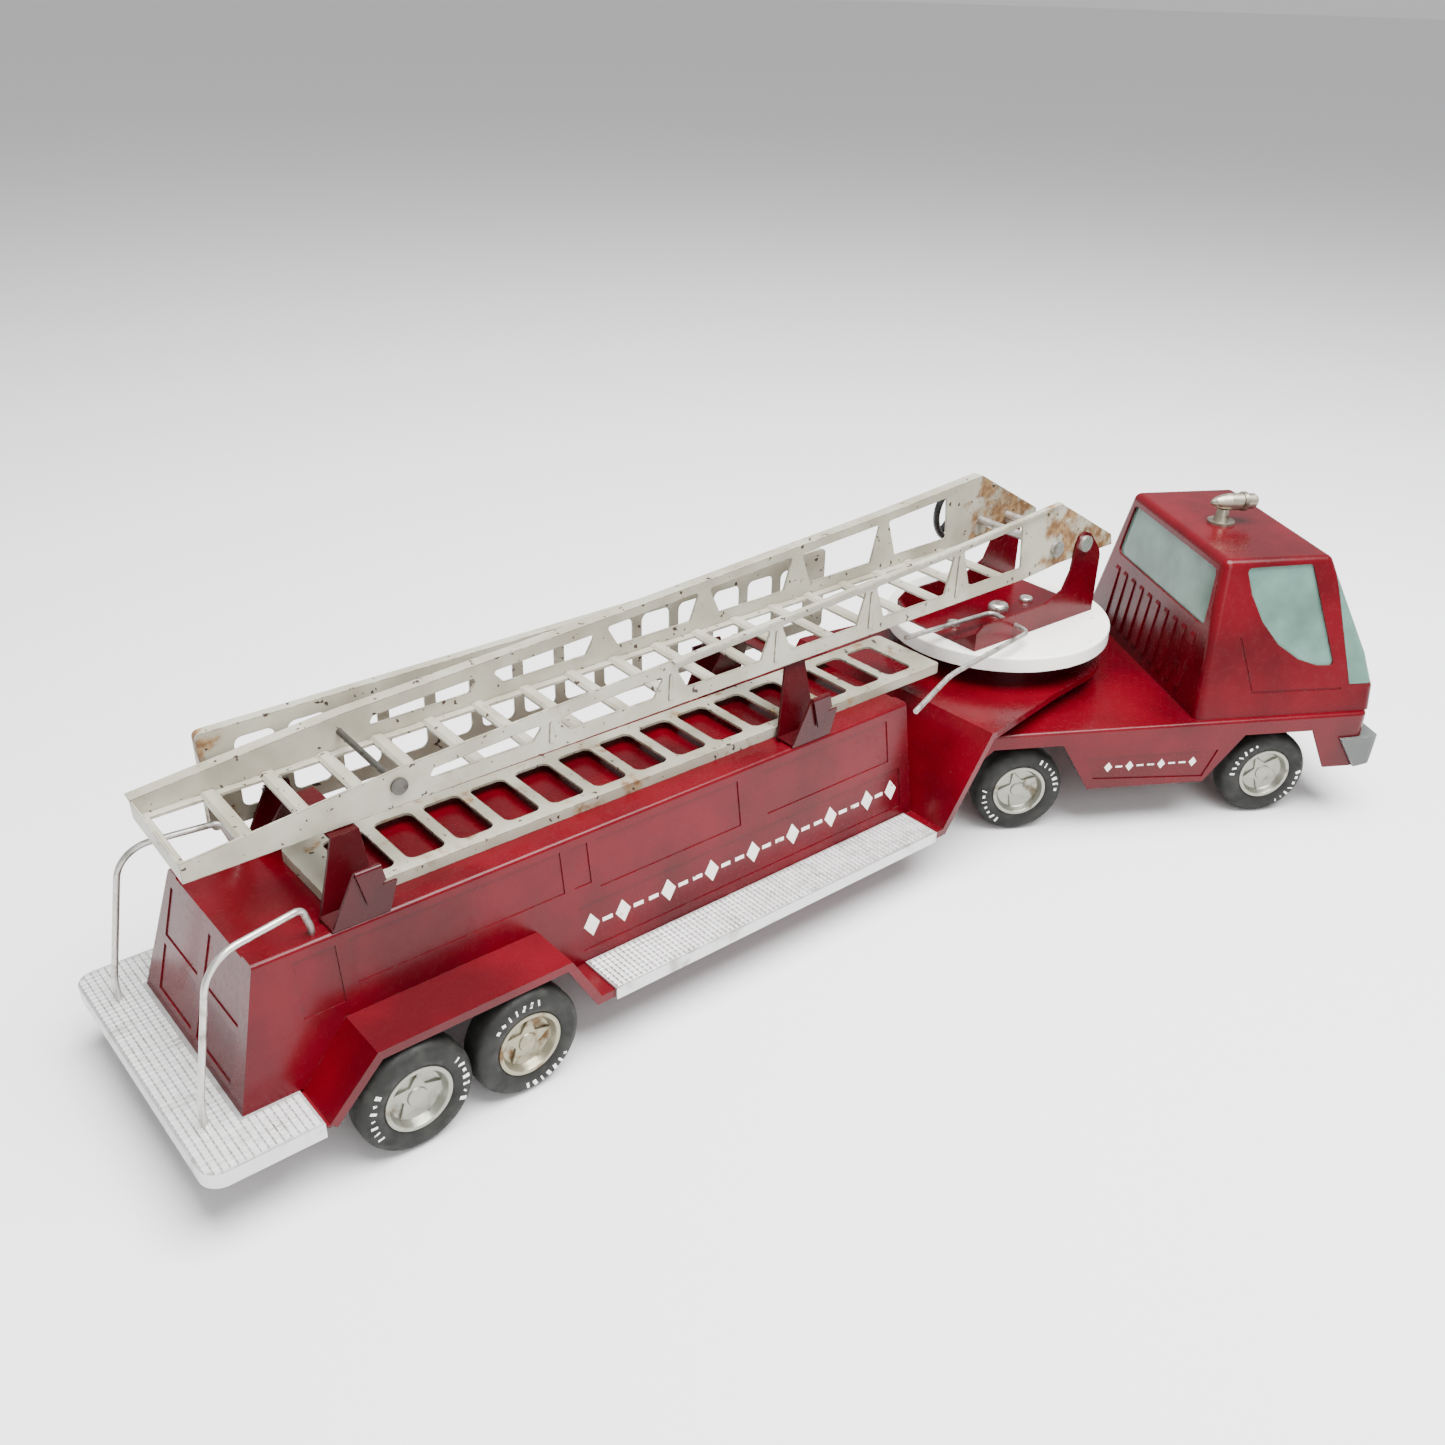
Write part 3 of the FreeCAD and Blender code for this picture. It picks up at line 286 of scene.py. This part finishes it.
# ---------------------------------------------------------------- tyres
# Each tyre is black rubber with round shoulders, pushed over its hub. The outer sidewall has two
# short arcs of raised marks, rubbed with white paint.
rubber = Finish("black_tyre", Specular_IOR_Level=0.25)
scuff = rubber.ramp(rubber.noise(0.008, 5.0), 0.45, 0.75)
rubber.feed(Base_Color=rubber.blend(scuff, (0.010, 0.010, 0.009, 1), (0.026, 0.026, 0.023, 1)))
rubber.feed(Roughness=rubber.ramp(rubber.noise(0.004, 3.0), 0.3, 0.7, 0.5, 0.75))
rubber.bump(rubber.noise(0.001, 3.0), 0.00008)
mark_paint = Finish("tyre_mark_white")
rubbed = mark_paint.ramp(mark_paint.noise(0.0016, 3.0), 0.55, 0.68)
mark_paint.feed(Base_Color=mark_paint.blend(rubbed, (0.80, 0.80, 0.78, 1), (0.10, 0.10, 0.10, 1)))
mark_paint.feed(Roughness=mark_paint.ramp(rubbed, 0.0, 1.0, 0.5, 0.8))

TYRE_FACE = 82.2 * MM
TYRE_OUTLINE = ((16.3, 1.4), (17.4, 0.5), (19.6, 0.12), (22.6, 0.12), (24.6, 0.9), (26.0, 2.2),
                (26.8, 4.0), (27.0, 6.0), (27.0, 11.0), (26.8, 13.0), (26.0, 14.8), (24.6, 16.1),
                (22.6, 16.9), (19.6, 16.9), (17.4, 16.5), (16.3, 15.6))
TRACTOR_YAW = -30.3
WHEELS = (("trailer_rear", 0.0, 8.0), ("trailer_front", 0.0, -63.0),
          ("tractor_rear", TRACTOR_YAW, 35.0), ("tractor_front", TRACTOR_YAW, -25.0))


def turned_about_y(degrees):
    return Matrix.Rotation(math.radians(degrees), 3, "Y")


def spun(mesh, outline, closed, steps=72):
    """Turns an outline of radius and depth behind the tyre's outer face round the Y axis."""
    verts = [mesh.verts.new((r * MM, TYRE_FACE - d * MM, 0.0)) for r, d in outline]
    pairs = list(zip(verts, verts[1:]))
    if closed:
        pairs.append((verts[-1], verts[0]))
    edges = [mesh.edges.new(p) for p in pairs]
    bmesh.ops.spin(mesh, geom=verts + edges, cent=(0, 0, 0), axis=(0, 1, 0), angle=math.tau,
                   steps=steps, use_merge=True)
    bmesh.ops.remove_doubles(mesh, verts=mesh.verts, dist=0.00001)


def on_axle(mesh, station, yaw, turn):
    """Turns a left wheel's mesh about Y, adds a copy facing the other way and sets both on the axle."""
    bmesh.ops.rotate(mesh, cent=(0, 0, 0), matrix=turned_about_y(turn), verts=mesh.verts)
    everything = list(mesh.verts) + list(mesh.edges) + list(mesh.faces)
    copy = bmesh.ops.duplicate(mesh, geom=everything)["geom"]
    others = [g for g in copy if isinstance(g, bmesh.types.BMVert)]
    bmesh.ops.rotate(mesh, cent=(0, 0, 0), matrix=Matrix.Rotation(math.pi, 3, "Z"), verts=others)
    low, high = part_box(station + "_axle")
    middle = (Vector(low) + Vector(high)) / 2
    heading = Matrix.Rotation(math.radians(yaw), 3, "Z")
    bmesh.ops.rotate(mesh, cent=(0, 0, 0), matrix=heading, verts=mesh.verts)
    bmesh.ops.translate(mesh, vec=middle, verts=mesh.verts)


def smooth(piece, angle=35.0):
    """Smooth shading, kept sharp where faces meet at more than the angle."""
    piece.data.shade_smooth()
    piece.data.set_sharp_from_angle(angle=math.radians(angle))
    return piece


MARK_ARCS = (50.0, 235.0)
MARK_STEP = 10.0
MARKS_PER_ARC = 7
MARK_WIDTHS = (0.8, 1.2, 1.8)
MARK_HEIGHTS = (3.0, 3.0, 1.6)
MARK_THICK = 0.24 * MM
MARK_RING = 22.0 * MM
MARK_SLANT = 25


def tyre_mark(mesh, bearing):
    """One raised block on the sidewall ring, of a drawn size and slant."""
    size = Vector((random.choice(MARK_WIDTHS) * MM, MARK_THICK, random.choice(MARK_HEIGHTS) * MM))
    block = bmesh.ops.create_cube(mesh, size=1.0)["verts"]
    bmesh.ops.scale(mesh, vec=size, verts=block)
    slant = random.uniform(-MARK_SLANT, MARK_SLANT)
    bmesh.ops.rotate(mesh, cent=(0, 0, 0), matrix=turned_about_y(slant), verts=block)
    bmesh.ops.translate(mesh, vec=(0, TYRE_FACE - MARK_THICK / 2, MARK_RING), verts=block)
    bmesh.ops.rotate(mesh, cent=(0, 0, 0), matrix=turned_about_y(bearing), verts=block)


for station, yaw, turn in WHEELS:
    mesh = bmesh.new()
    spun(mesh, TYRE_OUTLINE, True)
    on_axle(mesh, station, yaw, turn)
    tyre = smooth(new_piece(station + "_tyre_pair", mesh, rubber, station + "_wheels"))
    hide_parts(station + "_tyres")
    mesh = bmesh.new()
    random.seed(station)
    for arc in MARK_ARCS:
        for k in range(MARKS_PER_ARC):
            tyre_mark(mesh, arc + MARK_STEP * k)
    on_axle(mesh, station, yaw, turn)
    new_piece(station + "_tyre_marks", mesh, mark_paint, station + "_wheels")

# ---------------------------------------------------------------- hubs
# Each hub is a plated pressing with a rolled rim, a dished web, a raised five-pointed star and a
# round cap. The plating is dull, and the trailer's front pair has yellowed and rusted most.
def hub_plating(name, clean, stained, amount):
    f = Finish(name, Metallic=0.7)
    low_part = f.ramp(f.noise(0.010, 4.0), 0.62 - amount, 0.78 - amount)
    f.feed(Base_Color=f.blend(low_part, clean, stained))
    f.feed(Roughness=f.ramp(f.noise(0.003, 4.0) + low_part, 0.3, 1.4, 0.30, 0.6))
    return f.bump(f.noise(0.0012, 3.0), 0.00007)


dull = hub_plating("plated_hub", (0.26, 0.26, 0.22, 1), (0.11, 0.085, 0.05, 1), 0.04)
rusted = hub_plating("plated_hub_rusted", (0.26, 0.24, 0.17, 1), (0.12, 0.065, 0.025, 1), 0.12)
HUB_OUTLINE = ((0.0, 2.2), (3.2, 2.2), (4.4, 2.6), (4.9, 3.6), (5.6, 4.4), (7.0, 4.7), (10.6, 5.0),
               (12.2, 4.6), (13.0, 3.6), (13.5, 1.8), (14.1, 0.9), (15.0, 0.65), (15.9, 0.9),
               (16.25, 1.8), (16.25, 16.2), (15.2, 16.2), (14.6, 14.0), (13.0, 8.0), (5.0, 8.0),
               (5.0, 16.4), (0.0, 16.4))
STAR_TIP = 12.4 * MM
STAR_WAIST = 6.2 * MM
STAR_SINK = 4.9 * MM
STAR_RISE = 1.5 * MM
STAR_ROUND = 0.45 * MM
STAR_TURN = 20.0
for station, yaw, turn in WHEELS:
    mesh = bmesh.new()
    spun(mesh, HUB_OUTLINE, False, 60)
    circle = bmesh.ops.create_circle(mesh, cap_ends=True, segments=10, radius=STAR_TIP)
    star = circle["verts"]
    for k, vert in enumerate(star):
        if k % 2:
            vert.co *= STAR_WAIST / STAR_TIP
    upright = Matrix.Rotation(math.pi / 2, 3, "X")
    bmesh.ops.rotate(mesh, cent=(0, 0, 0), matrix=upright, verts=star)
    bmesh.ops.translate(mesh, vec=(0, TYRE_FACE - STAR_SINK, 0), verts=star)
    face = [f for f in mesh.faces if len(f.verts) == 10]
    top = bmesh.ops.extrude_face_region(mesh, geom=face)["geom"]
    raised = [g for g in top if isinstance(g, bmesh.types.BMVert)]
    bmesh.ops.translate(mesh, vec=(0, STAR_RISE, 0), verts=raised)
    rims = list({e for v in raised for e in v.link_edges})
    bmesh.ops.bevel(mesh, geom=rims, offset=STAR_ROUND, affect="EDGES", segments=2, profile=0.5,
                    material=-1)
    on_axle(mesh, station, yaw, turn + STAR_TURN)
    plating = rusted if station == "trailer_front" else dull
    hub = smooth(new_piece(station + "_hub_pair", mesh, plating, station + "_wheels"))
    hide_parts(station + "_hubs")

# ---------------------------------------------------------------- ladders
# The aerial ladder and the two loose ladders are pressed steel in off-white enamel. It is chipped to
# dark primer along the rails, and rust has come through, worst on the hinge plates.
def ladder_enamel(name, rust_at):
    f = Finish(name, Coat_Weight=0.1, Coat_Roughness=0.3)
    cloud = f.ramp(f.noise(0.03, 4.0), 0.3, 0.7)
    paint = f.blend(cloud, (0.38, 0.36, 0.29, 1), (0.26, 0.24, 0.18, 1))
    rust_cloud = f.noise(0.012, 5.0)
    rust = f.ramp(rust_cloud + rust_at(f), 0.66, 0.82)
    edge = f.edge(0.0008)
    chip = f.ramp(edge * f.noise(0.006, 4.0) + 0.5 * f.ramp(f.noise(0.004, 2.0), 0.66, 0.70), 0.40, 0.48)
    patchy = f.ramp(f.noise(0.004, 4.0), 0.4, 0.65)
    rusty = f.blend(patchy, (0.13, 0.060, 0.020, 1), (0.26, 0.16, 0.07, 1))
    f.feed(Base_Color=f.blend(chip, f.blend(rust, paint, rusty), (0.035, 0.020, 0.013, 1)))
    f.feed(Roughness=f.ramp(rust + chip, 0.0, 1.0, 0.36, 0.75))
    return f.bump(f.noise(0.0016, 3.0) - 0.6 * chip + 0.4 * rust, 0.00006)


plates_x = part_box("aerial_hinge_rod")[0][0]
aerial_enamel = ladder_enamel("cream_enamel_aerial",
                              lambda f: f.ramp(f.axis("X"), plates_x - 0.05, plates_x - 0.01, 0.0, 0.26))
loose_enamel = ladder_enamel("cream_enamel_loose", lambda f: 0.10)
side_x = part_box("side_ladder")[0][0]
side_enamel = ladder_enamel("cream_enamel_side",
                            lambda f: f.ramp(f.axis("X"), side_x, side_x + 0.03, 0.25, 0.0))
finish_nodes(aerial_enamel, "aerial_ladder")
finish_nodes(loose_enamel, "spare_ladder")
finish_nodes(side_enamel, "side_ladder")

# ---------------------------------------------------------------- turntable
# The turntable is a pan pressed from thin steel and enamelled white, clean on top and chipped to
# brown along its rim. The rivet through its middle holds it on the drum.
RIM_BROWN = (0.05, 0.028, 0.018, 1)
white_enamel = enamel("white_enamel", (0.88, 0.87, 0.83, 1), (0.82, 0.81, 0.77, 1), RIM_BROWN, 0.7)
finish_nodes(white_enamel, "turntable")

# ---------------------------------------------------------------- handwheel
# The handwheel is moulded in glossy black plastic and pressed on the end of the shaft that runs
# through the ladder's two front plates.
moulded = Finish("black_plastic", Specular_IOR_Level=0.5)
haze = moulded.ramp(moulded.noise(0.006, 3.0), 0.4, 0.7)
moulded.feed(Base_Color=moulded.blend(haze, (0.012, 0.012, 0.012, 1), (0.03, 0.03, 0.03, 1)))
moulded.feed(Roughness=moulded.ramp(moulded.noise(0.003, 3.0), 0.3, 0.7, 0.22, 0.42))
finish_nodes(moulded, "handwheel")

# ---------------------------------------------------------------- cab glazing
# All the cab's windows are one clear plastic moulding with a pale teal tint, pushed up inside the
# shell so that it shows through the window openings.
glazing = Finish("teal_glazing", Transmission_Weight=0.45, IOR=1.45)
film = glazing.ramp(glazing.noise(0.03, 4.0), 0.35, 0.7)
glazing.feed(Base_Color=glazing.blend(film, (0.20, 0.35, 0.30, 1), (0.12, 0.22, 0.18, 1)))
glazing.feed(Roughness=glazing.ramp(glazing.noise(0.01, 3.0), 0.3, 0.7, 0.10, 0.22))
finish_nodes(glazing, "cab_glazing")

# ---------------------------------------------------------------- bumper and siren
# The bumper is dull grey metal clipped round the front of the deck. The siren and its foot are
# plated castings with the plating worn to brown.
BUMPER_BRIGHT = (0.34, 0.34, 0.33, 1)
bumper_grey = enamel("grey_bumper", (0.12, 0.125, 0.12, 1), (0.085, 0.09, 0.087, 1), BUMPER_BRIGHT,
                     chips=0.5, gloss=0.45)
finish_nodes(bumper_grey, "front_bumper")
siren_plate = plated("siren_silver", (0.32, 0.29, 0.23, 1), (0.09, 0.05, 0.03, 1), 0.28)
finish_nodes(siren_plate, "siren", "siren_foot")

# ---------------------------------------------------------------- ornament bands
# A plain printed band of bars and diamonds runs along each side of the body, and a short one in
# each skirt of the tractor, in off-white ink that has worn through to the red in places.
ink = Finish("band_white", Specular_IOR_Level=0.4)
faded = ink.ramp(ink.noise(0.004, 4.0), 0.62, 0.75)
ink.feed(Base_Color=ink.blend(faded, (0.78, 0.74, 0.68, 1), (0.16, 0.03, 0.03, 1)))
ink.feed(Roughness=ink.ramp(faded, 0.0, 1.0, 0.35, 0.5))
INK = 0.06 * MM
DIAMOND_WIDTH = 0.75
BAR_LENGTH = 0.9
BAR_HEIGHT = 0.24
BODY_BAND_HEIGHT = 12.0 * MM
BODY_BAND_MARKS = 23
SKIRT_BAND_HEIGHT = 6.5 * MM
SKIRT_BAND_MARKS = 9


def band(name, start, along, up, face, length, height, count, body):
    """Bars with a diamond at each end and after every second bar, laid on a plane along a line."""
    mesh = bmesh.new()
    pitch = length / count
    eighth = Matrix.Rotation(math.pi / 4, 3, "Z")
    lie = Matrix((along, up, face)).transposed().to_4x4()
    for k in range(count):
        middle = start + along * (pitch * (k + 0.5))
        diamond = k % 3 == 2 or k in (0, count - 1)
        verts = bmesh.ops.create_circle(mesh, cap_ends=True, segments=4, radius=height / 2)["verts"]
        if diamond:
            bmesh.ops.scale(mesh, vec=(DIAMOND_WIDTH, 1.0, 1.0), verts=verts)
        else:
            bmesh.ops.rotate(mesh, cent=(0, 0, 0), matrix=eighth, verts=verts)
            bmesh.ops.scale(mesh, vec=(BAR_LENGTH * pitch / height, BAR_HEIGHT, 1.0), verts=verts)
        bmesh.ops.transform(mesh, matrix=Matrix.Translation(middle) @ lie, verts=verts)
    made = bmesh.ops.extrude_face_region(mesh, geom=list(mesh.faces))["geom"]
    top = [g for g in made if isinstance(g, bmesh.types.BMVert)]
    bmesh.ops.translate(mesh, vec=face * INK, verts=top)
    return new_piece(name, mesh, ink, body)


# Sizes of the sloping body side that the long bands lie on.
BODY_LOW_HALF = 54.3 * MM
BODY_TOP_HALF = 44.6 * MM
STEP_TOP = 35.7 * MM
BODY_TOP = 98.0 * MM
PANEL_SINK = 0.6 * MM
lean = (BODY_LOW_HALF - BODY_TOP_HALF) / (BODY_TOP - STEP_TOP)
centre_y = (body_low[1] + body_high[1]) / 2
band_z = 50.5 * MM
BAND_LENGTH = 212.0 * MM
BAND_FROM_FRONT = 10.0 * MM
BAND_LIFT = 0.02 * MM
sunk = PANEL_SINK / math.hypot(1, lean)
half = BODY_LOW_HALF - (band_z - STEP_TOP) * lean - sunk + BAND_LIFT
for side, sign in (("left", 1.0), ("right", -1.0)):
    along = Vector((-sign, 0, 0))
    up = Vector((0, -sign * lean, 1.0)).normalized()
    face = Vector((0, sign, lean)).normalized()
    x = body_high[0] - BAND_FROM_FRONT
    if sign < 0:
        x -= BAND_LENGTH
    start = Vector((x, centre_y + sign * half, band_z))
    band("body_band_" + side, start, along, up, face, BAND_LENGTH, BODY_BAND_HEIGHT,
         BODY_BAND_MARKS, "trailer")

# The tractor's skirts have a sunk panel each, and the short bands lie in them.
RECESS_HALF = 86.4 * MM
RECESS_BAND_Z = 42.5 * MM
SKIRT_BAND_START = 54.0 * MM
SKIRT_BAND = 60.0 * MM
yaw = math.radians(TRACTOR_YAW)
ahead = Vector((math.cos(yaw), math.sin(yaw), 0.0))
leftward = Vector((-math.sin(yaw), math.cos(yaw), 0.0))
pin_low, pin_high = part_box("kingpin")
pin = (Vector(pin_low) + Vector(pin_high)) / 2
for side, sign in (("left", 1.0), ("right", -1.0)):
    face = leftward * sign
    x = SKIRT_BAND_START
    if sign > 0:
        x += SKIRT_BAND
    start = Vector((pin.x, pin.y, RECESS_BAND_Z)) + face * RECESS_HALF + ahead * x
    band("skirt_band_" + side, start, ahead * -sign, Vector((0, 0, 1.0)), face, SKIRT_BAND,
         SKIRT_BAND_HEIGHT, SKIRT_BAND_MARKS, "tractor")

# ---------------------------------------------------------------- camera, floor and light
# The toy stands on a pale floor in a bright even surround, under a wide soft light from above and
# with a weaker one on its right.
CAMERA_AT = (-484.3 * MM, -448.2 * MM, 446.3 * MM)
CAMERA_AZIMUTH = 40.34
CAMERA_ELEVATION = -28.12
CAMERA_ROLL = 1.3
LENS = 34.43
SENSOR = 36.0
NEAREST = 0.01
FLOOR_REACH = 40.0
SURROUND = 0.60


def add_camera():
    az, el, roll = (math.radians(a) for a in (CAMERA_AZIMUTH, CAMERA_ELEVATION, CAMERA_ROLL))
    ahead = Vector((math.sin(az) * math.cos(el), math.cos(az) * math.cos(el), math.sin(el)))
    right = Vector((math.cos(az), -math.sin(az), 0.0))
    up = right.cross(ahead)
    turned_right = right * math.cos(roll) + up * math.sin(roll)
    turned_up = up * math.cos(roll) - right * math.sin(roll)
    camera = bpy.data.objects.new("camera", bpy.data.cameras.new("camera"))
    camera.data.lens = LENS
    camera.data.sensor_width = SENSOR
    camera.data.clip_start = NEAREST
    turn = Matrix((turned_right, turned_up, -ahead)).transposed().to_4x4()
    camera.matrix_world = Matrix.Translation(CAMERA_AT) @ turn
    bpy.context.scene.collection.objects.link(camera)
    bpy.context.scene.camera = camera


add_camera()

floor_mesh = bmesh.new()
bmesh.ops.create_grid(floor_mesh, x_segments=1, y_segments=1, size=FLOOR_REACH)
floor_data = bpy.data.meshes.new("floor")
floor_mesh.to_mesh(floor_data)
floor_mesh.free()
floor = bpy.data.objects.new("floor", floor_data)
bpy.context.scene.collection.objects.link(floor)
floor_paint = Finish("floor_pale", Base_Color=(0.86, 0.86, 0.86, 1), Roughness=0.9)
floor_data.materials.append(floor_paint.material)

world = bpy.data.worlds.new("surround")
world.use_nodes = True
world.node_tree.nodes["Background"].inputs["Color"].default_value = (1, 1, 1, 1)
world.node_tree.nodes["Background"].inputs["Strength"].default_value = SURROUND
bpy.context.scene.world = world


def soft_light(name, place, target, size, watts):
    lamp = bpy.data.lights.new(name, "AREA")
    lamp.shape = "DISK"
    lamp.size = size
    lamp.energy = watts
    light = bpy.data.objects.new(name, lamp)
    light.location = place
    light.rotation_euler = (Vector(target) - Vector(place)).to_track_quat("-Z", "Y").to_euler()
    bpy.context.scene.collection.objects.link(light)


soft_light("overhead", (0.1, -0.3, 1.6), (0.0, 0.0, 0.0), 1.6, 120.0)
soft_light("side", (-0.6, -1.6, 0.9), (0.0, 0.0, 0.05), 1.2, 16.0)
